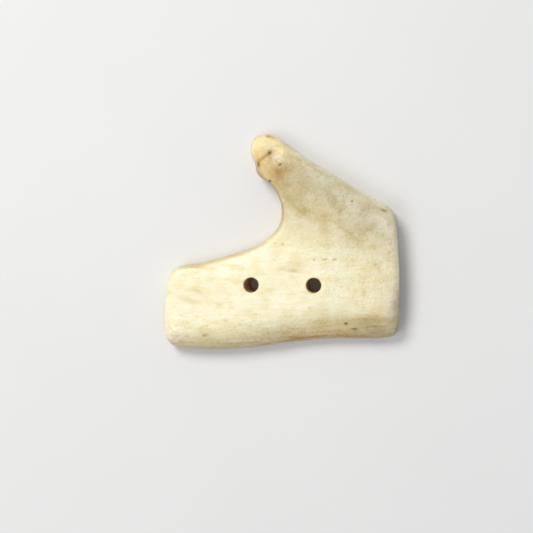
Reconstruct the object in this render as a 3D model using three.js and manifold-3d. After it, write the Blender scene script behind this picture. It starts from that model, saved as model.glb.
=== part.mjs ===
// Sew-on button made from one piece of deer antler: a short length of beam with the stub of a tine,
// split lengthwise, so that the front is the antler's own rounded crown and the back is sawn flat.
// Two hand-drilled holes take the sewing thread. Millimetres, +Z out of the front, back face on Z = 0.
// The origin lies on the back face, under the midpoint between the mouths of the two holes.
import * as THREE from "three";
import { LoftGeometry } from "three/addons/geometries/LoftGeometry.js";
import { mergeVertices } from "three/addons/utils/BufferGeometryUtils.js";
import Module from "manifold-3d";

// Driving dimensions
const HOLE_DIAMETER = 3.2;
const HOLE_PITCH = 13.7;
const HOLE_LEAN = [8, 1.5]; // degrees off square, left and right; the drill wandered towards +X
const HOLE_SIDES = 32;
const BACK_ROUND = 0.7; // radius sanded on the edge of the back face
const BACK_STEPS = 3; // rings in that rounding
const CROWN_FALL = 0.5; // how much lower than the spine the front would meet a square edge
const SHOULDER_ROUND = 1.7; // exponent of the shoulder's section: 1 a plain bevel, 2 a true round
const SHOULDER_STEPS = 7; // rings from the top of the side wall over the shoulder
const CROWN_STEPS = 5; // rings from the shoulder to the spine
const POINT_STEPS = 4; // stations between two neighbouring outline points at the ends of the antler
const MERGE_DISTANCE = 1e-4;

// The spine is the ridge line of the front: arm, butt and tine meet at the fork. Z is the thickness there.
const ARM = new THREE.Vector3(-17, -5, 6.4);
const FORK = new THREE.Vector3(9.5, 3.5, 7.2);
const BUTT = new THREE.Vector3(14.5, 2.5, 6.8);
const TIP = new THREE.Vector3(-3.9, 29.3, 5.4);
const TINE_BEND = new THREE.Vector3(6, 19, 6.8);
const SPINE = {
  arm: new THREE.LineCurve3(ARM, FORK),
  butt: new THREE.LineCurve3(FORK, BUTT),
  tine: new THREE.QuadraticBezierCurve3(FORK, TINE_BEND, TIP),
};
const SPINE_STEPS = { arm: 22, butt: 6, tine: 18 };

// The outline, counter-clockwise from the lower left corner. Each stretch starts at its first point and
// runs to the next one's. It follows a branch of the spine out or back, or swings round the end of one.
// wall is the height of the side wall where the stretch starts, and shoulder how far in from it the front
// is rounded: the antler's own broad round, or the narrow one of a sawn end that was only sanded over.
const OUTLINE = [
  // Underside, arm to fork
  {
    branch: "arm",
    wall: 2,
    shoulder: 5.5,
    points: [[-22.9, -14.2], [-15.7, -14.5], [-7.3, -14], [3.6, -12.5]],
  },
  // Underside, fork to butt
  {
    branch: "butt",
    wall: 2,
    shoulder: 8.5,
    points: [[10, -11.9], [16, -11.8]],
  },
  // Lower corner of the butt
  {
    end: BUTT,
    wall: 2,
    shoulder: 7.6,
    points: [[21.8, -11.7]],
  },
  // Sawn butt, where it cuts across the rounded underside
  {
    end: BUTT,
    wall: 2.7,
    shoulder: 7.4,
    points: [[24.3, -10.9], [25.2, -8.6]],
  },
  // Sawn butt
  {
    end: BUTT,
    wall: 5.2,
    shoulder: 1.4,
    points: [[25.3, -3], [25, 7], [24.4, 13.4], [23.6, 16.1]],
  },
  // Slant, butt to fork
  {
    branch: "butt",
    back: true,
    wall: 5.4,
    shoulder: 1.2,
    points: [[22.5, 17.2]],
  },
  // Slant, fork to tip
  {
    branch: "tine",
    wall: 5.4,
    shoulder: 1.2,
    points: [[18.5, 19.2], [11, 23.8], [4, 28]],
  },
  // Shoulder of the tine tip
  {
    end: TIP,
    wall: 3.4,
    shoulder: 1.6,
    points: [[0, 31.1], [-1.9, 32.3]],
  },
  // Tine tip
  {
    end: TIP,
    wall: 2.6,
    shoulder: 2.6,
    points: [[-4.2, 32.8], [-6.2, 32.1], [-7.1, 30.2], [-7, 28.2]],
  },
  // Crook, tip to fork
  {
    branch: "tine",
    back: true,
    wall: 3,
    shoulder: 2,
    points: [[-6.2, 26.5], [-5.9, 24.7], [-5, 23.5], [-3.3, 22.6], [-1.4, 20], [-0.4, 17]],
  },
  // Crook, fork to arm
  {
    branch: "arm",
    back: true,
    wall: 4.8,
    shoulder: 1.4,
    points: [[-0.5, 14], [-1.7, 11.7], [-5.5, 8.7], [-11, 6.7], [-17, 5]],
  },
  // Sawn end of the arm
  {
    end: ARM,
    wall: 4.4,
    shoulder: 1.6,
    points: [[-22, 4.1], [-23.9, 3.5], [-25, 1.6], [-25.9, -3]],
  },
  // Sawn end of the arm, where it cuts across the rounded underside
  {
    end: ARM,
    wall: 4.6,
    shoulder: 1.3,
    points: [[-26.1, -8], [-25.9, -11.9]],
  },
  // Lower corner of the arm
  {
    end: ARM,
    wall: 2.4,
    shoulder: 5.4,
    points: [[-24.9, -13.6]],
  },
];

// Where the surface runs inwards: each station is a point on the outline and the spine point it leads to.
function stations() {
  const points = OUTLINE.flatMap((stretch) => stretch.points);
  const loop = points.map(([x, y]) => new THREE.Vector3(x, y, 0));
  const outline = new THREE.CatmullRomCurve3(loop, true, "centripetal");
  const made = [];
  let first = 0;
  OUTLINE.forEach((stretch, index) => {
    const next = OUTLINE[(index + 1) % OUTLINE.length];
    const spans = stretch.points.length;
    const steps = stretch.branch ? SPINE_STEPS[stretch.branch] : spans * POINT_STEPS;
    for (let step = 0; step < steps; step++) {
      const share = step / steps;
      const along = stretch.back ? 1 - share : share;
      made.push({
        edge: outline.getPoint((first + share * spans) / loop.length),
        spine: stretch.branch ? SPINE[stretch.branch].getPoint(along) : stretch.end.clone(),
        wall: THREE.MathUtils.lerp(stretch.wall, next.wall, share),
        shoulder: THREE.MathUtils.lerp(stretch.shoulder, next.shoulder, share),
      });
    }
    first += spans;
  });
  return made;
}

// How far a station's outline point is from its spine point.
function reach({ edge, spine }) {
  return Math.hypot(spine.x - edge.x, spine.y - edge.y);
}

// A point above the line from a station's outline point to its spine point, inset by millimetres.
function insetPoint(station, inset, height) {
  const { edge, spine } = station;
  return new THREE.Vector3().lerpVectors(edge, spine, inset / reach(station)).setZ(height);
}

// A point of the front that is inset from the side wall, where the shoulder has risen by that share.
function frontPoint(station, inset, risen) {
  const { spine, wall } = station;
  const crown = spine.z - CROWN_FALL * (1 - inset / reach(station)) ** 2;
  return insetPoint(station, inset, THREE.MathUtils.lerp(wall, crown, risen));
}

// The shoulder's section is a quarter of a superellipse, from the side wall at 0 to the crown at 1.
function shoulderPoint(station, share) {
  const angle = (share * Math.PI) / 2;
  const inset = station.shoulder * (1 - Math.cos(angle) ** (2 / SHOULDER_ROUND));
  return frontPoint(station, inset, Math.sin(angle) ** (2 / SHOULDER_ROUND));
}

function crownPoint(station, share) {
  return frontPoint(station, THREE.MathUtils.lerp(station.shoulder, reach(station), share), 1);
}

// The whole piece as rings, from the rim of the flat back, round its edge and over the crown to the spine.
function antlerSections() {
  const around = stations();
  const sections = [];
  for (let ring = 0; ring <= BACK_STEPS; ring++) {
    const angle = (ring / BACK_STEPS) * (Math.PI / 2);
    const inset = BACK_ROUND * (1 - Math.sin(angle));
    const height = BACK_ROUND * (1 - Math.cos(angle));
    sections.push(around.map((station) => insetPoint(station, inset, height)));
  }
  for (let ring = 0; ring <= SHOULDER_STEPS; ring++) {
    sections.push(around.map((station) => shoulderPoint(station, ring / SHOULDER_STEPS)));
  }
  for (let ring = 1; ring <= CROWN_STEPS; ring++) {
    sections.push(around.map((station) => crownPoint(station, ring / CROWN_STEPS)));
  }
  return sections;
}

const wasm = await Module();
wasm.setup();

// A closed geometry as a solid. The faces that close up along the spine are dropped.
function solidOf(geometry) {
  const bare = new THREE.BufferGeometry().copy(geometry);
  bare.deleteAttribute("normal");
  bare.deleteAttribute("uv");
  const merged = mergeVertices(bare, MERGE_DISTANCE);
  const index = merged.index.array;
  const triangles = [];
  for (let i = 0; i < index.length; i += 3) {
    const corners = index.subarray(i, i + 3);
    if (new Set(corners).size === 3) triangles.push(...corners);
  }
  const mesh = new wasm.Mesh({
    numProp: 3,
    vertProperties: new Float32Array(merged.attributes.position.array),
    triVerts: new Uint32Array(triangles),
  });
  return new wasm.Manifold(mesh);
}

function geometryOf(solid) {
  const { vertProperties, triVerts } = solid.getMesh();
  const geometry = new THREE.BufferGeometry();
  geometry.setAttribute("position", new THREE.BufferAttribute(vertProperties, 3));
  geometry.setIndex(new THREE.BufferAttribute(triVerts, 1));
  geometry.computeVertexNormals();
  return geometry;
}

// The path of the drill for one sewing hole. It passes through the hole's mouth at the crown's height.
function drill(mouthX, lean) {
  const crown = FORK.z;
  const depth = 3 * crown;
  const cut = new THREE.CylinderGeometry(HOLE_DIAMETER / 2, HOLE_DIAMETER / 2, depth, HOLE_SIDES);
  cut.rotateX(Math.PI / 2);
  cut.rotateY(-THREE.MathUtils.degToRad(lean));
  cut.translate(mouthX, 0, crown);
  return solidOf(cut);
}

function antlerButton() {
  let solid = solidOf(new LoftGeometry(antlerSections(), { capStart: true }));
  HOLE_LEAN.forEach((lean, index) => {
    const mouthX = (index - 0.5) * HOLE_PITCH;
    solid = solid.subtract(drill(mouthX, lean));
  });
  const antler = new THREE.MeshStandardMaterial({ color: 0xe8dfbf, roughness: 0.45, metalness: 0 });
  const mesh = new THREE.Mesh(geometryOf(solid), antler);
  mesh.name = "antler_button";
  return mesh;
}

const part = new THREE.Group();
part.add(antlerButton());

export default part;
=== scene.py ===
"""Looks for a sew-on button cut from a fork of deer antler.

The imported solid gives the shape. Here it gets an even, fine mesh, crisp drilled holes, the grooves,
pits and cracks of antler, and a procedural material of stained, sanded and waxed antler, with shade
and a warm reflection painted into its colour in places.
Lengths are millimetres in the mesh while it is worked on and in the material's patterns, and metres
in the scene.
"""

import math
from types import SimpleNamespace

import bpy
import numpy as np
from mathutils import Matrix, Vector, noise


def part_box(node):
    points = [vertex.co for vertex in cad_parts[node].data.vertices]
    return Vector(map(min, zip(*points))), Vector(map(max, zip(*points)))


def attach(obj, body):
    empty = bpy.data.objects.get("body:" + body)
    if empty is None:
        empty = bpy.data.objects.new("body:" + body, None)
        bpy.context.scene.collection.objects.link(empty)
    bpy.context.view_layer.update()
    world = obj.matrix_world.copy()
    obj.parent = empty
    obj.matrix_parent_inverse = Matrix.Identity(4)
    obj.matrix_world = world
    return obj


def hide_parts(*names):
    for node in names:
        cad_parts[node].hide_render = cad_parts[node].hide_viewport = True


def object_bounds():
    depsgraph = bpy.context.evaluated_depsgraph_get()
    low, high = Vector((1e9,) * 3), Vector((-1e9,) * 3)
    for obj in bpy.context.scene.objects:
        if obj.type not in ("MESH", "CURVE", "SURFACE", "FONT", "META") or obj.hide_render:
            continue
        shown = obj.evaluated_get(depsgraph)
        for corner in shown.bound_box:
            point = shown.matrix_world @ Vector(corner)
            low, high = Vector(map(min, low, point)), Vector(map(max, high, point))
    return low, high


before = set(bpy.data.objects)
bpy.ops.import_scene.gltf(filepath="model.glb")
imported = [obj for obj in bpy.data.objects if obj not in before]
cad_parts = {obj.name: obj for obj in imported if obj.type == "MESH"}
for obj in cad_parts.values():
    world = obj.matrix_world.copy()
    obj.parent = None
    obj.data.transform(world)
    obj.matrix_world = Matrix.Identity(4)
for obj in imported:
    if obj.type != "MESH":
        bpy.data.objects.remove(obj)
cad_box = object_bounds()

MM = 0.001
FAR = 1000.0  # more than any distance on the button
NODE = "antler_button"

# Mesh
VOXEL = 0.215
SMOOTHING = 6

# Sewing holes, drilled by hand: the X of each mouth, and how far the drill leaned, in degrees
HOLES = ((-6.85, 8.0), (6.85, 1.5))
HOLE_RADIUS = 1.6
RIM_ROUND = 0.16
RIM_REACH = 0.9  # the face is evened out this far from a hole's wall
RIM_GUIDE = (0.7, 2.0)  # and follows the face between these distances from it

# The grain runs along the beam, and turns down the slant in the tine
TINE_GRAIN = math.radians(-42)
TINE_STARTS = 9.0
TINE_FULL = 17.0

# The spongy core follows the beam and the tine: its path at the back face, and how wide and high it is
BEAM_CORE = ((-34.0, -10.5), (9.5, 3.5), (34.0, -1.0))
TINE_CORE = ((9.5, 3.5), (6.0, 18.0), (0.5, 26.0))
BEAM_CORE_WIDTH = 6.2
TINE_CORE_WIDTH = 3.6
CORE_HEIGHT = 2.6
CORE_STARTS = 1.25  # as shares of those widths and that height
CORE_FULL = 0.62

# Noises: height, wavelength along X, Y and Z, and seed
HAND_WAVES = ((0.14, (8.0, 7.0, 9.0), 1), (0.06, (3.6, 3.0, 3.6), 2))
CORE_WAVES = ((0.20, (5.0, 3.5, 3.5), 11), (0.10, (1.6, 1.2, 1.2), 12))
BACK_SAW_WAVES = ((0.03, (0.7, 9.0, 9.0), 9),)
END_SAW_WAVES = ((0.02, (9.0, 0.8, 9.0), 9),)
SEED_STEP = 17.3

# Noises drawn out along the grain: length along it, width across it, and seed
GROOVE_GRAIN = (9.0, 0.9, 3)
FURROW_GRAIN = (7.0, 1.3, 5)
PORE_GRAIN = (1.6, 0.55, 7)
CELL_GRAIN = (1.7, 0.75, 13)
SMALL_CELL_GRAIN = (0.9, 0.5, 14)
FURROW_FROM = 0.12  # furrows and pores open where their noise is above these
PORE_FROM = 0.38

# Heights and depths of the relief, and for the grooves also what the underside adds to them
GROOVE_HEIGHT = (0.02, 0.03)
FURROW_DEPTH = (0.04, 0.13)
TINE_SWELL = 0.12
PORE_DEPTH = 0.10
PIT_DEPTH = 0.16
CELL_DEPTH = 0.14
LOBE_HEIGHT = 0.32
CRACK_DEPTH = 0.12
HOLLOW_DEPTH = 0.24

# Edges that stains follow: the underside's Y at four X, the butt's X at four Y, and the slant, by its
# end at the butt and the direction that runs square from it into the antler
UNDERSIDE_X = (-26.0, -15.0, 18.0, 26.0)
UNDERSIDE_Y = (-14.0, -14.5, -11.8, -11.5)
UNDERSIDE_REACH = ((-22.0, -10.0, 2.0), (4.0, 5.0, 6.5))  # three X, and how far up its stain goes
BUTT_Y = (-3.0, 7.0, 13.4, 16.1)
BUTT_X = (25.3, 25.0, 24.4, 23.6)
SLANT_END = (22.5, 17.2)
SLANT_INWARD = (-0.504, -0.864)

# Where each region of the front sets in, and where it is full
FORK_FADE = (4.5, 18.5)  # Y at FORK_X, on lines that fall by FORK_FALL towards +X
FORK_X = 8.0
FORK_FALL = 0.38
BUTT_FADE = (8.0, 26.0)  # X
SWELL_FADE = (18.0, 28.0)  # Y
STRIP_FADE = (4.0, 1.4)  # a paler strip, by the distance from the butt
PALER_EDGE_FADE = (1.4, 0.4)  # edges kept paler, with less stain and less painted shade, by the distance from butt or slant
YELLOW_FADE = (1.5, 10.0)  # the yellow of the fork, by the distance from the slant

# Camera, in metres, with its sensor in millimetres
AIM = (-0.00371, 0.00391, 0.0035)
CAMERA_DISTANCE = 0.30
CAMERA_TILT = (5.5, 2.5)  # degrees from straight above the aim, towards +X and +Y
PICTURE_WIDTH = 0.11666  # what the picture spans at the aim
SENSOR_WIDTH = 36.0
NEAR_LIMIT = 0.01

# Studio, in metres and watts: name, place, diameter, power and tone of each light
LIGHTS = (
    ("window", (-0.28, 0.42, 0.57), 0.34, 3.6, (1.0, 0.985, 0.95)),
    ("fill", (-0.40, -0.20, 0.75), 0.50, 1.60, (1.0, 1.0, 1.0)),
)
SKY_TONE = (0.93, 0.96, 1.0, 1.0)
SKY_STRENGTH = 0.50
FLOOR_REACH = 3.0
FLOOR_GAP = 0.02 * MM
FLOOR_ROUGHNESS = 0.85
FLOOR_CLOUDS = (40.0, 40.0, 40.0)  # millimetres

# Marks on the front: x, y, half length, half width, angle in degrees, strength
# Tan marks, mostly stains. Those along the arm's top edge, from y 4 to 6, and the one on the tip's
# lower left also stand for shade there: stain and painted shade together.
TAN_MARKS = (
    (-20.7, -3.4, 2.5, 0.5, -14, 0.50),
    (-18.5, -1.5, 1.5, 0.5, -25, 0.45),
    (-13.9, -4.3, 0.8, 0.4, -20, 0.50),
    (-19.1, -5.9, 1.5, 0.3, 0, 0.20),
    (-12.3, -7.7, 0.5, 0.35, 0, 0.60),
    (-22.1, -8.5, 1.5, 0.5, 0, 0.20),
    (-16.8, -10.5, 1.3, 0.9, 0, 0.40),
    (-12.5, 6.0, 7.5, 0.6, 16, 0.35),
    (-0.7, -10.5, 4.0, 1.5, 3, 0.30),
    (-10.6, 6.2, 1.8, 0.5, 17, 0.42),
    (-18.6, 3.9, 2.6, 0.55, 0, 0.80),
    (2.7, 3.2, 1.1, 0.35, 0, 0.65),
    (1.9, 3.9, 2.0, 0.9, 10, 0.42),
    (20.6, 3.9, 1.8, 0.5, -55, 0.34),
    (17.7, -1.8, 0.6, 0.8, 0, 0.50),
    (6.0, -4.9, 0.5, 0.35, 0, 0.60),
    (17.7, -7.2, 1.1, 0.3, 0, 0.50),
    (21.0, -7.4, 2.4, 0.9, 0, 0.45),
    (8.5, -8.0, 2.3, 0.6, 0, 0.50),
    (18.7, -7.3, 3.0, 0.25, 0, 0.35),
    (13.5, -11.1, 1.9, 0.4, 0, 0.60),
    (11.1, -11.3, 6.5, 0.9, 0, 0.60),
    (-3.05, 27.25, 1.3, 0.8, -50, 0.45),
    (-2.1, 28.75, 0.8, 0.7, 0, 0.60),
    (-4.35, 25.65, 1.5, 1.3, 0, 0.56),
    (-0.95, 24.1, 1.8, 0.9, 0, 0.35),
    (-1.95, 26.15, 0.9, 0.6, -40, 0.35),
    (-2.3, 27.6, 1.2, 0.8, -40, 0.20),
    (-4.75, 26.75, 1.1, 0.8, 60, 0.42),
    (-3.6, 24.1, 1.2, 0.8, -30, 0.32),
    (8.2, 4.4, 4.5, 1.3, 0, 0.12),
)
# Painted shade: in the crook, along the butt, over the fork, the tine and the slant, in the tip's
# hollows and at the lower right corner
PAINTED_SHADE_MARKS = (
    (0.3, 16.5, 3.0, 3.0, 0, 0.45),
    (24.8, -4.6, 2.3, 5.0, 0, 0.95),
    (2.8, 25.85, 2.0, 1.5, -35, 0.35),
    (14.9, 19.1, 3.8, 1.6, -32, 0.92),
    (22.7, 16.0, 1.8, 1.0, -25, 0.85),
    (-2.95, 27.05, 1.7, 1.1, -50, 0.32),
    (-2.3, 27.9, 1.4, 0.9, -40, 0.38),
    (-1.9, 28.85, 1.3, 1.1, 0, 0.40),
    (19.5, -7.6, 3.5, 1.4, 0, 0.30),
    (20.5, -10.2, 5.5, 1.8, 0, 0.50),
)
GOLD_MARKS = (
    (-4.3, 30.05, 3.2, 2.4, 35, 1.0),
    (-0.6, 29.05, 2.2, 1.6, -50, 0.95),
    (-4.15, 26.45, 2.6, 2.2, -60, 0.35),
    (0.9, 20.4, 4.5, 2.4, -60, 0.60),
    (2.4, 25.45, 3.2, 1.9, -45, 0.75),
    (-1.2, 24.2, 2.2, 1.3, 0, 0.55),
)
ORANGE_MARKS = (
    (-1.05, 24.3, 2.2, 1.0, 5, 0.95),
    (-1.5, 22.9, 3.2, 1.2, -52, 0.58),
    (0.45, 22.5, 2.4, 1.4, -50, 0.36),
    (-3.1, 24.1, 2.2, 0.9, -20, 0.60),
    (0.95, 25.3, 1.6, 0.8, 15, 0.58),
    (-4.95, 27.05, 0.9, 0.6, 30, 0.75),
    (-5.35, 28.65, 0.8, 1.2, 0, 0.35),
    (-3.3, 32.15, 0.8, 0.38, -5, 0.95),
    (-2.2, 31.85, 0.5, 0.26, -10, 0.80),
    (-3.95, 27.65, 1.6, 0.36, 36, 0.85),
    (-2.9, 28.5, 0.7, 0.5, 45, 0.70),
    (-0.6, 26.1, 0.7, 0.45, 30, 0.85),
    (-2.7, 22.6, 0.5, 0.4, 0, 0.40),
    (-16.5, -11.0, 0.4, 0.3, 0, 0.35),
    (-1.3, 29.9, 0.9, 0.35, 15, 0.60),
)
DARK_MARKS = (
    (-2.85, 28.55, 0.40, 0.32, 45, 0.95),
    (-2.55, 28.9, 0.5, 0.17, 50, 0.62),
    (-3.85, 27.7, 1.2, 0.20, 36, 0.36),
    (-5.1, 26.15, 0.32, 0.65, 10, 0.70),
    (-0.55, 26.05, 0.40, 0.26, 30, 0.75),
    (-1.35, 26.65, 0.60, 0.18, -50, 0.35),
    (-2.7, 22.55, 0.28, 0.24, 0, 0.90),
    (11.35, 5.6, 0.26, 0.22, 0, 0.60),
    (9.5, 5.6, 0.20, 0.18, 0, 0.50),
    (8.9, 5.6, 0.20, 0.18, 0, 0.30),
    (6.95, 5.6, 0.20, 0.18, 0, 0.45),
    (0.1, 8.8, 0.22, 0.20, 0, 0.60),
    (17.45, 9.65, 0.20, 0.20, 0, 0.28),
    (20.0, 4.45, 0.20, 0.28, 0, 0.32),
    (13.8, -8.4, 0.36, 0.28, 0, 0.90),
    (15.55, -9.55, 0.65, 0.22, 0, 0.85),
    (-17.15, -11.2, 0.30, 0.26, 0, 0.35),
    (15.05, 18.15, 0.30, 0.24, 0, 0.70),
    (21.9, 16.2, 0.70, 0.24, -25, 0.62),
    (23.3, 8.95, 0.20, 0.20, 0, 0.40),
    (-3.25, 32.1, 0.55, 0.22, -5, 0.45),
    (23.2, 7.1, 0.20, 0.30, 0, 0.40),
)
OLIVE_MARKS = (
    (-0.7, -10.5, 4.0, 2.0, 4, 0.20),
    (7.35, 25.05, 3.5, 0.9, -32, 0.30),
    (-0.9, 3.8, 0.6, 0.5, 0, 0.20),
    (15.6, -7.7, 7.5, 1.3, 0, 0.65),
    (20.5, -8.2, 3.0, 1.6, 0, 0.35),
    (13.2, 12.3, 3.2, 0.50, -38, 0.62),
    (15.4, 10.3, 0.9, 0.5, -40, 0.50),
    (21.4, 10.4, 1.9, 0.7, -20, 0.10),
    (-0.9, 22.3, 3.2, 1.8, -60, 0.45),
    (2.25, 24.1, 5.0, 2.6, -50, 0.42),
    (2.5, 20.3, 4.2, 1.8, -52, 0.24),
    (9.8, 20.9, 1.8, 1.0, -42, 0.12),
    (12.0, 17.2, 2.4, 1.2, -50, 0.50),
    (5.2, 15.6, 2.4, 1.3, -42, 0.32),
    (14.5, 19.4, 3.5, 1.8, -32, 0.24),
    (-17.1, -11.1, 0.7, 0.45, 0, 0.55),
    (-22.9, -8.8, 0.9, 0.25, 0, 0.32),
    (-21.8, -7.6, 0.5, 0.20, 0, 0.28),
    (-21.0, -8.2, 0.7, 0.30, 0, 0.22),
    (-19.4, -8.4, 0.4, 0.35, 0, 0.30),
    (-23.0, -10.1, 0.4, 0.25, 0, 0.22),
    (-17.3, -9.2, 0.9, 0.25, 12, 0.38),
    (-22.4, -12.4, 0.6, 0.35, 0, 0.50),
    (-20.9, -11.4, 0.6, 0.35, 0, 0.32),
    (-23.2, -11.5, 0.5, 0.25, 0, 0.32),
    (19.2, -9.7, 4.0, 0.22, 0, 0.38),
)

# The tine's rough end, free of the painted shade that lies over the fork
TIP_LOBES = (
    (-4.3, 30.05, 3.4, 2.5, 35, 1.0),
    (-0.9, 29.3, 2.1, 1.3, -50, 0.85),
    (-3.95, 26.25, 2.4, 1.7, -60, 1.0),
    (-2.05, 27.35, 1.4, 1.2, 0, 0.9),
)

# The relief of that end: low lobes, the crack between them, and two hollows
TIP_SWELLS = (
    (-4.7, 30.3, 2.5, 1.7, 40, 0.9),
    (-0.3, 28.6, 2.0, 1.3, -50, 0.45),
    (-4.4, 25.9, 1.6, 1.2, 0, 0.4),
)
TIP_CRACK = (
    (-4.1, 27.8, 1.5, 0.25, 36, 1.0),
    (-2.7, 29.1, 0.8, 0.25, 50, 0.9),
    (-1.5, 29.9, 0.9, 0.3, 30, 0.5),
)
TIP_HOLLOWS = (
    (-2.2, 27.4, 1.5, 0.7, -55, 1.0),
    (-1.2, 24.6, 1.8, 0.9, 10, 0.5),
)

# Where the fork is less yellowed, and a little less painted shade lies on it
CLEAN_SPOTS = (
    (21.0, 14.3, 3.2, 3.2, 0, 0.70),
    (5.0, 12.9, 2.6, 1.8, -30, 0.50),
    (7.6, 10.4, 3.0, 1.6, -30, 0.50),
    (22.5, 4.0, 2.0, 6.0, 0, 0.40),
)


def smoothstep(low, high, values):
    """0 at low, 1 at high, and smooth between them. Low may be the larger number."""
    share = np.clip((values - low) / (high - low), 0.0, 1.0)
    return share * share * (3.0 - 2.0 * share)


def either(first, second):
    """Two shares laid over each other: 0 where both are 0, and 1 where one of them is."""
    return 1 - (1 - first) * (1 - second)


def ovals(points, marks):
    """How deep each point lies in any of the marks: 1 in the middle of a strong one, 0 far from all."""
    total = np.zeros(len(points))
    for x, y, length, width, angle, strength in marks:
        turn = math.radians(angle)
        dx = points[:, 0] - x
        dy = points[:, 1] - y
        along = (dx * math.cos(turn) + dy * math.sin(turn)) / length
        across = (dy * math.cos(turn) - dx * math.sin(turn)) / width
        total = either(total, strength * np.exp(-(along**2) - across**2))
    return total


def noise_at(points, wavelength, seed):
    """Smooth noise from about -1 to 1, with that wavelength along X, Y and Z."""
    places = points / np.array(wavelength) + seed * SEED_STEP
    return np.array([noise.noise(place) for place in places.tolist()])


def waves(points, layers):
    """The sum of several noises, each given by its height, wavelength and seed."""
    return sum(height * noise_at(points, wavelength, seed) for height, wavelength, seed in layers)


def in_grain(points, turn):
    """The points turned so that +X runs along a grain at that angle."""
    c, s = math.cos(turn), math.sin(turn)
    x = points[:, 0] * c + points[:, 1] * s
    y = points[:, 1] * c - points[:, 0] * s
    return np.stack((x, y, points[:, 2]), 1)


def tine_share(points):
    """Where the grain follows the tine, and not the beam."""
    return smoothstep(TINE_STARTS, TINE_FULL, points[:, 1])


def grain_noise(points, along, across, seed):
    """Noise drawn out along the grain, which turns from the beam into the tine."""
    size = (along, across, across)
    beam = noise_at(points, size, seed)
    tine = noise_at(in_grain(points, TINE_GRAIN), size, seed + 1)
    share = tine_share(points)
    return beam * (1 - share) + tine * share


def fine_mesh():
    """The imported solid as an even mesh, in millimetres, with its facets smoothed away."""
    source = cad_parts[NODE]
    mesh = source.data.copy()
    mesh.transform(Matrix.Scale(1 / MM, 4))
    piece = bpy.data.objects.new("antler_button_carved", mesh)
    bpy.context.scene.collection.objects.link(piece)
    remesh = piece.modifiers.new("even", "REMESH")
    remesh.mode = "VOXEL"
    remesh.voxel_size = VOXEL
    smooth = piece.modifiers.new("smooth", "SMOOTH")
    smooth.factor = 0.5
    smooth.iterations = SMOOTHING
    graph = bpy.context.evaluated_depsgraph_get()
    made = bpy.data.meshes.new_from_object(piece.evaluated_get(graph))
    piece.modifiers.clear()
    piece.data = made
    made.materials.clear()
    return piece


def read_vectors(mesh, name):
    """A vector of each vertex, such as its place or its normal, as rows of an array."""
    flat = np.zeros(len(mesh.vertices) * 3, np.float32)
    mesh.vertices.foreach_get(name, flat)
    return flat.reshape(-1, 3).astype(float)


def set_points(mesh, points):
    mesh.vertices.foreach_set("co", points.astype(np.float32).ravel())
    mesh.update()


def store(mesh, name, values):
    layer = mesh.attributes.new(name, "FLOAT", "POINT")
    layer.data.foreach_set("value", np.clip(values, 0.0, 1.0).astype(np.float32))


def hole_axis(mouth_x, lean, crown):
    """A point on a hole's axis at its mouth, and the axis, pointing out of the front."""
    turn = math.radians(lean)
    return np.array((mouth_x, 0.0, crown)), np.array((-math.sin(turn), 0.0, math.cos(turn)))


def redrill(points, crown):
    """Makes both holes truly round, with a narrow softened edge at each mouth."""
    middle = -crown / 2
    for mouth_x, lean in HOLES:
        origin, axis = hole_axis(mouth_x, lean, crown)
        rel = points - origin
        height = rel @ axis
        sideways = rel - height[:, None] * axis
        away = np.linalg.norm(sideways, axis=1)
        for facing in (1, -1):
            half = (height - middle) * facing > 0
            ring = half & (away > HOLE_RADIUS + RIM_GUIDE[0]) & (away < HOLE_RADIUS + RIM_GUIDE[1])
            fit = surface_fit(sideways[ring], height[ring])
            near = half & (away < HOLE_RADIUS + RIM_REACH)
            side = sideways[near]
            depth = (surface_height(fit, side) - height[near]) * facing
            gap = away[near] - HOLE_RADIUS
            new_gap, new_depth = rim_profile(gap, depth)
            radial = side / away[near][:, None]
            drop = (depth - new_depth) * facing
            points[near] += radial * (new_gap - gap)[:, None] + axis * drop[:, None]
    return points


def surface_terms(side):
    x, y = side[:, 0], side[:, 1]
    return np.stack((np.ones_like(x), x, y, x * x, x * y, y * y), 1)


def surface_fit(side, height):
    """The gently curved surface that lies nearest to some points of a face."""
    return np.linalg.lstsq(surface_terms(side), height, rcond=None)[0]


def surface_height(fit, side):
    return surface_terms(side) @ fit


def rim_profile(gap, depth):
    """Where a point near a hole's edge belongs: on the wall, on the rounded edge, or on the face."""
    new_gap, new_depth = gap.copy(), depth.copy()
    wall = depth >= RIM_ROUND
    new_gap[wall] = 0.0
    corner = ~wall & (gap < RIM_ROUND)
    across, down = gap[corner] - RIM_ROUND, depth[corner] - RIM_ROUND
    reach = np.maximum(np.hypot(across, down), 1e-6)
    new_gap[corner] = RIM_ROUND + across / reach * RIM_ROUND
    new_depth[corner] = RIM_ROUND + down / reach * RIM_ROUND
    face = ~wall & ~corner
    new_depth[face] = depth[face] * smoothstep(RIM_ROUND, RIM_REACH, gap[face])
    return new_gap, new_depth


def hole_distance(points, crown):
    """The distance from each point to the nearer hole's wall."""
    nearest = np.full(len(points), FAR)
    for mouth_x, lean in HOLES:
        origin, axis = hole_axis(mouth_x, lean, crown)
        rel = points - origin
        away = np.linalg.norm(rel - (rel @ axis)[:, None] * axis, axis=1)
        nearest = np.minimum(nearest, away - HOLE_RADIUS)
    return nearest


def path_distance(points, path):
    """The distance from each point to a path, seen from above."""
    nearest = np.full(len(points), FAR)
    for start, end in zip(np.array(path), np.array(path)[1:]):
        step = end - start
        rel = points[:, :2] - start
        along = np.clip(rel @ step / (step @ step), 0.0, 1.0)
        nearest = np.minimum(nearest, np.linalg.norm(rel - along[:, None] * step, axis=1))
    return nearest


def core_share(points):
    """1 well inside the antler's spongy core, 0 in the dense bone round it."""
    beam = path_distance(points, BEAM_CORE) / BEAM_CORE_WIDTH
    tine = path_distance(points, TINE_CORE) / TINE_CORE_WIDTH
    depth = np.hypot(np.minimum(beam, tine), points[:, 2] / CORE_HEIGHT)
    return smoothstep(CORE_STARTS, CORE_FULL, depth + waves(points, CORE_WAVES))


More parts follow.
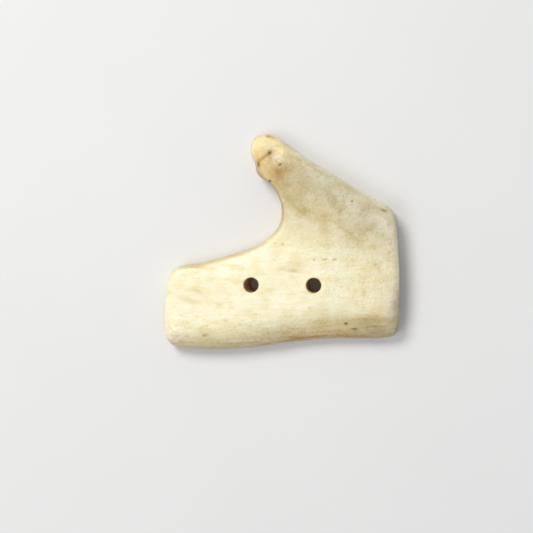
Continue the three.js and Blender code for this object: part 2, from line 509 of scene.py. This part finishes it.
def sponge(points, core):
    """The open cells of the core, drawn out along the grain, and rarer and smaller towards its edge."""
    solid = 0.62 - 0.50 * core
    cells = grain_noise(points, *CELL_GRAIN) + 0.45 * grain_noise(points, *SMALL_CELL_GRAIN)
    return smoothstep(solid, solid + 0.30, cells) * np.minimum(3 * core, 1.0)


def grooves(points):
    """Grooves, furrows and pores along the grain, deepest on the underside."""
    underside = smoothstep(-5.5, -12.0, points[:, 1] + 0.06 * points[:, 0])
    groove = grain_noise(points, *GROOVE_GRAIN)
    furrow = np.maximum(grain_noise(points, *FURROW_GRAIN) - FURROW_FROM, 0.0)
    pore = np.maximum(grain_noise(points, *PORE_GRAIN) - PORE_FROM, 0.0)
    groove_height = GROOVE_HEIGHT[0] + GROOVE_HEIGHT[1] * underside
    furrow_depth = FURROW_DEPTH[0] + FURROW_DEPTH[1] * underside
    return groove_height * groove - furrow_depth * furrow - PORE_DEPTH * pore


def tip_relief(points):
    """The tine's rough end: low lobes with a crack and two hollows between them."""
    raised = LOBE_HEIGHT * ovals(points, TIP_SWELLS)
    cracked = CRACK_DEPTH * ovals(points, TIP_CRACK)
    hollowed = HOLLOW_DEPTH * ovals(points, TIP_HOLLOWS)
    return raised - cracked - hollowed


def saw_marks(points, normals, back):
    """Fine lines that the saw left on the back and on the ends."""
    sawn = np.maximum(back, smoothstep(0.9, 0.97, np.abs(normals[:, 0])))
    return waves(points, BACK_SAW_WAVES) * back + waves(points, END_SAW_WAVES) * sawn


def relief(points, normals, hole_gap, cells):
    """How far antler's own surface stands above or below the plain shape. It is low round the holes."""
    front = smoothstep(0.0, 0.5, normals[:, 2])
    back = smoothstep(0.7, 0.95, -normals[:, 2])
    hand = waves(points, HAND_WAVES) * (0.35 + 0.65 * front)
    swell = TINE_SWELL * smoothstep(*SWELL_FADE, points[:, 1])
    grown = (hand + grooves(points) + swell) * (1 - back)
    marked = (tip_relief(points) - PIT_DEPTH * ovals(points, DARK_MARKS)) * front
    height = grown + marked + saw_marks(points, normals, back) - CELL_DEPTH * cells
    return height * (0.25 + 0.75 * smoothstep(0.0, 0.5, hole_gap))


def underside_share(x, y):
    """How far down the beam's rounded lower side a point lies. It is weaker on the arm."""
    gap = y - np.interp(x, UNDERSIDE_X, UNDERSIDE_Y)
    reach = np.interp(x, *UNDERSIDE_REACH)
    return smoothstep(reach, 0.5, gap) * (0.45 + 0.55 * smoothstep(-16.0, 12.0, x))


def shares(points, normals, hole_gap):
    """How much of each stain, painted shade or texture a point carries, by the name of its attribute.
    """
    x, y = points[:, 0], points[:, 1]
    up = normals[:, 2]
    front = smoothstep(-0.1, 0.4, up)
    seen = 1 - smoothstep(0.6, 0.9, -up)  # all but the back

    # Regions of the front
    fork = smoothstep(*FORK_FADE, y + FORK_FALL * (x - FORK_X))
    butt = smoothstep(*BUTT_FADE, x)
    tip = np.minimum(1.5 * ovals(points, TIP_LOBES), 1.0)
    underside = underside_share(x, y)
    clean = ovals(points, CLEAN_SPOTS)
    butt_gap = np.interp(y, BUTT_Y, BUTT_X) - x
    slant_gap = (x - SLANT_END[0]) * SLANT_INWARD[0] + (y - SLANT_END[1]) * SLANT_INWARD[1]
    strip = smoothstep(*STRIP_FADE, butt_gap)
    paler_edge = smoothstep(*PALER_EDGE_FADE, np.minimum(slant_gap, butt_gap))
    paler_edge = paler_edge * smoothstep(-5.0, 1.0, y) * smoothstep(31.5, 28.5, y)

    # Broad stains and painted shade, before the single marks are laid over them
    # Painted shade over the fork and a little over the butt, less at the pale edges and on the clean
    # spots, none on the tip
    painted_shade = np.maximum(fork, 0.25 * butt) * (1 - 0.44 * paler_edge) * (1 - tip) * (1 - 0.3 * clean)
    inner_fork = fork * smoothstep(*YELLOW_FADE, slant_gap)
    sallow = np.maximum(inner_fork, 0.35 * butt * (1 - strip)) * (1 - 0.7 * paler_edge) * (1 - clean)
    # The underside's reddish tan: partly a stain, partly a painted warm reflection. It is weaker
    # towards the butt and on the pale strip.
    ruddy_stain_and_reflection = underside * (0.85 - 0.35 * smoothstep(12.0, 21.0, x)) * (1 - 0.4 * strip)
    # Painted shade with a reddish painted reflection: the further a surface turns from facing up, the
    # darker it is, except at the arm's end, the pale edges and the tip's top
    wall = smoothstep(0.95, 0.50, up) * smoothstep(-26.5, -22.0, x) * (1 - paler_edge)
    cloudy = smoothstep(4.0, 13.0, x + 0.5 * y) * (1 - 0.5 * paler_edge)
    core = core_share(points)
    return {
        "painted_shade": either(painted_shade, ovals(points, PAINTED_SHADE_MARKS)) * seen,
        "sallow": np.maximum(sallow * (1 - tip), ovals(points, GOLD_MARKS)) * seen,
        "olive": ovals(points, OLIVE_MARKS) * front,
        "tan": either(ovals(points, TAN_MARKS) * front, ruddy_stain_and_reflection),
        "orange": ovals(points, ORANGE_MARKS) * front,
        "dark": ovals(points, DARK_MARKS) * front,
        "core": core,
        "sponge": sponge(points, core),
        "bore": smoothstep(0.16, 0.04, hole_gap),
        "tine": tine_share(points),
        "wall": wall * seen * (1 - 0.85 * smoothstep(26.0, 29.0, y)),
        "cloudy": cloudy,
        "gritty": np.maximum(cloudy, 0.9 * smoothstep(-5.0, -9.0, y) * seen),
        "lined": underside * (0.35 + 0.65 * smoothstep(0.05, 0.50, up)),
    }


def carve_button():
    """The button that is seen: redrilled, marked, and given its relief and its material."""
    piece = fine_mesh()
    mesh = piece.data
    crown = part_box(NODE)[1].z / MM
    set_points(mesh, redrill(read_vectors(mesh, "co"), crown))
    points, normals = read_vectors(mesh, "co"), read_vectors(mesh, "normal")
    hole_gap = hole_distance(points, crown)
    carried = shares(points, normals, hole_gap)
    for name, values in carried.items():
        store(mesh, name, values)
    moved = points + normals * relief(points, normals, hole_gap, carried["sponge"])[:, None]
    moved[:, 2] = np.maximum(moved[:, 2], 0.0)
    set_points(mesh, moved)
    mesh.transform(Matrix.Scale(MM, 4))
    mesh.shade_smooth()
    mesh.materials.append(antler_material())
    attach(piece, "root")
    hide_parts(NODE)


class Shader:
    """A material's nodes, made by short calls that each give back an output socket."""

    def __init__(self, name):
        self.material = bpy.data.materials.new(name)
        self.material.use_nodes = True
        self.nodes = self.material.node_tree.nodes
        self.links = self.material.node_tree.links
        self.surface = self.nodes["Principled BSDF"]

    def link(self, value, socket):
        if isinstance(value, bpy.types.NodeSocket):
            self.links.new(value, socket)
        else:
            socket.default_value = value

    def node(self, kind, **settings):
        made = self.nodes.new(kind)
        for name, value in settings.items():
            setattr(made, name, value)
        return made

    def attribute(self, name):
        return self.node("ShaderNodeAttribute", attribute_name=name).outputs["Fac"]

    def place(self, size, turn=0.0):
        """Object coordinates, turned, then divided by a size in millimetres along each axis."""
        turned = self.node("ShaderNodeMapping", vector_type="TEXTURE")
        turned.inputs["Rotation"].default_value = (0.0, 0.0, turn)
        turned.inputs["Scale"].default_value = [MM * length for length in size]
        self.link(self.node("ShaderNodeTexCoord").outputs["Object"], turned.inputs["Vector"])
        return turned.outputs["Vector"]

    def noise(self, vector, detail=3.0, roughness=0.55, distortion=0.0):
        made = self.node("ShaderNodeTexNoise")
        self.link(vector, made.inputs["Vector"])
        made.inputs["Scale"].default_value = 1.0
        made.inputs["Detail"].default_value = detail
        made.inputs["Roughness"].default_value = roughness
        made.inputs["Distortion"].default_value = distortion
        return made.outputs["Fac"]

    def clouds(self, size, detail=3.0, roughness=0.55):
        return self.noise(self.place(size), detail, roughness)

    def grain(self, size, detail=3.0, roughness=0.55):
        """Noise drawn out along the grain of the beam, and of the tine where the tine starts."""
        beam = self.noise(self.place(size), detail, roughness, 0.4)
        tine = self.noise(self.place(size, TINE_GRAIN), detail, roughness, 0.4)
        return self.blend(self.attribute("tine"), beam, tine)

    def span(self, value, low, high, to_low=0.0, to_high=1.0):
        """Turns the values between low and high into the ones from to_low to to_high."""
        made = self.node("ShaderNodeMapRange", interpolation_type="SMOOTHSTEP")
        for socket, number in zip(made.inputs[:5], (value, low, high, to_low, to_high)):
            self.link(number, socket)
        return made.outputs["Result"]

    def math(self, operation, first, second):
        made = self.node("ShaderNodeMath", operation=operation)
        self.link(first, made.inputs[0])
        self.link(second, made.inputs[1])
        return made.outputs["Value"]

    def times(self, first, second):
        return self.math("MULTIPLY", first, second)

    def plus(self, first, second):
        return self.math("ADD", first, second)

    def blend(self, share, first, second):
        made = self.node("ShaderNodeMix", data_type="FLOAT")
        self.link(share, made.inputs["Factor"])
        self.link(first, made.inputs["A"])
        self.link(second, made.inputs["B"])
        return made.outputs["Result"]

    def tint(self, share, first, second, blend_type="MIX"):
        made = self.node("ShaderNodeMix", data_type="RGBA", blend_type=blend_type)
        below, above = (socket for socket in made.inputs if socket.type == "RGBA")
        self.link(share, made.inputs["Factor"])
        self.link(first, below)
        self.link(second, above)
        return next(socket for socket in made.outputs if socket.type == "RGBA")

    def stain(self, share, colour, left):
        """The colour under a stain. Left is how much red, green and blue a full stain lets through."""
        return self.tint(share, colour, (*left, 1.0), "MULTIPLY")

    def bump(self, height, distance):
        made = self.node("ShaderNodeBump")
        made.inputs["Strength"].default_value = 1.0
        made.inputs["Distance"].default_value = distance * MM
        self.link(height, made.inputs["Height"])
        return made.outputs["Normal"]


def rgb(red, green, blue):
    """A colour given as it looks on a screen, 0 to 255, in the linear values that Blender works in."""
    screen = np.array((red, green, blue)) / 255
    linear = np.where(screen <= 0.04045, screen / 12.92, ((screen + 0.055) / 1.055) ** 2.4)
    return (*linear.tolist(), 1.0)


PALE = rgb(247, 240, 211)
CREAM = rgb(242, 233, 198)
YELLOWED = rgb(234, 220, 168)
# Hole walls: darker brown, partly the drilled bone and partly painted shade inside the holes
BORE = rgb(190, 158, 108)
CORE = rgb(205, 187, 148)
CORE_SHADED = rgb(188, 166, 124)
CORE_PORE = rgb(120, 96, 66)
FLOOR_COLOURS = (rgb(222, 221, 220), rgb(227, 226, 225))

# What each full stain, or each painted shade, lets through of red, green and blue light
# Painted shade, not a stain: a plain darkening with no tint
PAINTED_SHADE_GREY = (0.66, 0.65, 0.66)
SALLOW_STAIN = (0.96, 0.85, 0.63)
OLIVE_STAIN = (0.70, 0.66, 0.46)
# Tan stain. On the underside it is also a painted warm reflection.
TAN_STAIN_AND_PAINTED_LIGHT = (0.72, 0.54, 0.30)
ORANGE_STAIN = (0.80, 0.58, 0.22)
# Painted shade on the steep sides, with a reddish tinge of painted reflection, not a stain
PAINTED_WALL_SHADE = (0.62, 0.54, 0.50)
HALO_STAIN = (0.78, 0.70, 0.42)
DARK_STAIN = (0.24, 0.13, 0.05)

# The same all over the antler: light goes a little way in, and the surface is waxed
ANTLER_SURFACE = {
    "Subsurface Weight": 0.20,
    "Subsurface Radius": (1.0, 0.75, 0.45),
    "Subsurface Scale": 1.0 * MM,
    "IOR": 1.5,
    "Coat Weight": 0.12,
    "Coat Roughness": 0.32,
}
BUMP_HEIGHT = 0.12


def antler_patterns(m):
    """The patterns that colour, gloss and relief share. The noises among them stay near 0.5.

    Sizes run along X, Y and Z, or along the grain and across it.
    """
    patches = m.clouds((5.0, 4.0, 5.0), 2.0)
    speck = m.grain((0.75, 0.24, 0.24), 1.0)
    cell = m.grain((0.62, 0.26, 0.28), 2.0, 0.6)
    return SimpleNamespace(
        broad=m.clouds((9.0, 7.0, 8.0), 2.0),
        cloud=m.clouds((2.6, 2.2, 2.4)),
        mottle=m.clouds((0.85, 0.7, 0.75), 3.0, 0.6),
        grit=m.clouds((0.42, 0.36, 0.36), 2.0, 0.6),
        streak=m.grain((6.5, 1.0, 1.0)),
        fibre=m.grain((1.6, 0.16, 0.16), 2.0),
        drift=m.grain((6.5, 2.0, 2.0), 4.0, 0.6),
        coarse=m.plus(m.times(m.attribute("gritty"), 0.65), 0.35),
        pore=m.times(m.span(speck, 0.68, 0.78), m.span(patches, 0.48, 0.62)),
        small_cell=m.times(m.span(cell, 0.53, 0.66), m.attribute("core")),
    )


def bare_colour(m, p):
    """Cream, yellowed in clouds and in streaks along the grain."""
    colour = m.tint(m.span(p.broad, 0.40, 0.64), PALE, CREAM)
    colour = m.tint(m.times(m.span(p.cloud, 0.42, 0.68), 0.55), colour, YELLOWED)
    streaked = m.blend(m.attribute("cloudy"), 0.55, 0.25)
    return m.tint(m.times(m.span(p.streak, 0.48, 0.70), streaked), colour, YELLOWED)


def broad_stains_and_painted_light(m, p, colour):
    """What lies over whole regions: yellow, green and brown stains, shade painted over the fork and on
    the steep sides, and a painted warm reflection in the underside's tan.
    """
    uneven = m.span(m.plus(p.broad, p.cloud), 0.75, 1.25, 0.80, 1.08)
    # Painted shade over the fork, the butt, the lower right corner and the tip's hollows
    colour = m.stain(m.times(m.attribute("painted_shade"), uneven), colour, PAINTED_SHADE_GREY)
    colour = m.stain(m.times(m.attribute("sallow"), uneven), colour, SALLOW_STAIN)
    speckled = m.plus(m.span(p.mottle, 0.48, 0.72, 0.0, 0.25), m.span(p.grit, 0.50, 0.70, 0.0, 0.23))
    colour = m.stain(m.times(speckled, p.coarse), colour, OLIVE_STAIN)
    drifting = m.times(m.span(p.drift, 0.46, 0.70), m.attribute("tine"))
    colour = m.stain(m.times(drifting, 0.16), colour, OLIVE_STAIN)
    smudged = m.span(m.plus(p.drift, p.mottle), 0.75, 1.25, 0.80, 1.10)
    colour = m.stain(m.times(m.attribute("olive"), smudged), colour, OLIVE_STAIN)
    # Painted shade on the steep sides, reddish
    colour = m.stain(m.times(m.attribute("wall"), 0.60), colour, PAINTED_WALL_SHADE)
    broken = m.span(m.plus(p.streak, p.mottle), 0.75, 1.25, 0.75, 1.12)
    # Tan marks and the underside's tan: stains, with painted shade in some marks and a painted warm
    # reflection on the underside
    colour = m.stain(m.times(m.attribute("tan"), broken), colour, TAN_STAIN_AND_PAINTED_LIGHT)
    lined = m.plus(m.times(m.attribute("lined"), 0.60), 0.05)
    return m.stain(m.times(m.span(p.streak, 0.54, 0.70), lined), colour, TAN_STAIN_AND_PAINTED_LIGHT)


def small_stains(m, p, colour):
    """Orange patches and pores, and dark pits with a paler brown round them."""
    patchy = m.span(p.cloud, 0.30, 0.62, 0.60, 1.0)
    colour = m.stain(m.times(m.attribute("orange"), patchy), colour, ORANGE_STAIN)
    colour = m.stain(m.times(p.pore, 0.55), colour, ORANGE_STAIN)
    dark = m.times(m.attribute("dark"), m.span(p.mottle, 0.30, 0.55, 0.6, 1.0))
    colour = m.stain(m.times(dark, 1.4), colour, HALO_STAIN)
    return m.stain(dark, colour, DARK_STAIN)


def opened_colour(m, p, colour):
    """The spongy core where the saw has opened it, and the walls of the drilled holes, browner partly
    as drilled bone and partly as painted shade inside the holes.
    """
    core = m.tint(m.span(p.cloud, 0.36, 0.66), CORE, CORE_SHADED)
    colour = m.tint(m.times(m.attribute("core"), 0.80), colour, core)
    open_cell = m.plus(m.times(m.attribute("sponge"), 0.62), m.times(p.small_cell, 0.30))
    colour = m.tint(open_cell, colour, CORE_PORE)
    # Hole walls in brown: partly painted shade inside the holes
    return m.tint(m.attribute("bore"), colour, BORE)


def fine_relief(m, p):
    """What is too fine for the mesh: grit, fibres, streaks, pores and the smallest cells."""
    gritty = m.plus(m.times(p.grit, 0.75), m.times(p.mottle, 1.20))
    height = m.times(gritty, p.coarse)
    for pattern, strength in ((p.fibre, 0.22), (p.streak, 0.3), (p.pore, -0.6), (p.small_cell, -1.2)):
        height = m.plus(height, m.times(pattern, strength))
    return m.bump(height, BUMP_HEIGHT)


def antler_material():
    """Cream antler, streaked along its grain, stained by the marks on it, with shade and a warm
    reflection painted in places, sanded and waxed.
    """
    m = Shader("antler")
    p = antler_patterns(m)
    colour = broad_stains_and_painted_light(m, p, bare_colour(m, p))
    colour = opened_colour(m, p, small_stains(m, p, colour))
    rough = m.plus(m.span(p.streak, 0.35, 0.70, 0.42, 0.56), m.times(m.attribute("core"), 0.18))
    m.link(colour, m.surface.inputs["Base Color"])
    m.link(rough, m.surface.inputs["Roughness"])
    m.link(fine_relief(m, p), m.surface.inputs["Normal"])
    for name, value in ANTLER_SURFACE.items():
        m.surface.inputs[name].default_value = value
    return m.material


def floor_material():
    m = Shader("studio_floor")
    colour = m.tint(m.clouds(FLOOR_CLOUDS, 2.0), *FLOOR_COLOURS)
    m.link(colour, m.surface.inputs["Base Color"])
    m.surface.inputs["Roughness"].default_value = FLOOR_ROUGHNESS
    return m.material


def make_floor():
    corners = [(x * FLOOR_REACH, y * FLOOR_REACH, 0.0) for x, y in ((-1, -1), (1, -1), (1, 1), (-1, 1))]
    mesh = bpy.data.meshes.new("studio_floor")
    mesh.from_pydata(corners, [], [(0, 1, 2, 3)])
    mesh.materials.append(floor_material())
    floor = bpy.data.objects.new("studio_floor", mesh)
    bpy.context.scene.collection.objects.link(floor)
    floor.location.z = cad_box[0][2] - FLOOR_GAP


def make_camera():
    """A long lens almost straight above the button, with +Y up in the picture."""
    tilt_x, tilt_y = (math.sin(math.radians(tilt)) for tilt in CAMERA_TILT)
    back = Vector((tilt_x, tilt_y, math.sqrt(1 - tilt_x**2 - tilt_y**2)))
    right = Vector((0, 1, 0)).cross(back).normalized()
    up = back.cross(right)
    turn = Matrix((right, up, back)).transposed().to_4x4()
    data = bpy.data.cameras.new("camera")
    data.sensor_width = SENSOR_WIDTH
    data.lens = SENSOR_WIDTH * CAMERA_DISTANCE / PICTURE_WIDTH
    data.clip_start = NEAR_LIMIT
    camera = bpy.data.objects.new("camera", data)
    bpy.context.scene.collection.objects.link(camera)
    camera.matrix_world = Matrix.Translation(Vector(AIM) + back * CAMERA_DISTANCE) @ turn
    bpy.context.scene.camera = camera


def area_light(name, place, size, power, tone):
    """A round soft light that shines at the origin."""
    data = bpy.data.lights.new(name, "AREA")
    data.shape = "DISK"
    data.size = size
    data.energy = power
    data.color = tone
    light = bpy.data.objects.new(name, data)
    bpy.context.scene.collection.objects.link(light)
    light.location = place
    light.rotation_euler = Vector(place).to_track_quat("Z", "Y").to_euler()


def make_lights():
    for settings in LIGHTS:
        area_light(*settings)
    world = bpy.data.worlds.new("studio")
    world.use_nodes = True
    background = world.node_tree.nodes["Background"]
    background.inputs["Color"].default_value = SKY_TONE
    background.inputs["Strength"].default_value = SKY_STRENGTH
    bpy.context.scene.world = world


carve_button()
make_floor()
make_lights()
make_camera()
bpy.context.scene.view_settings.view_transform = "Standard"
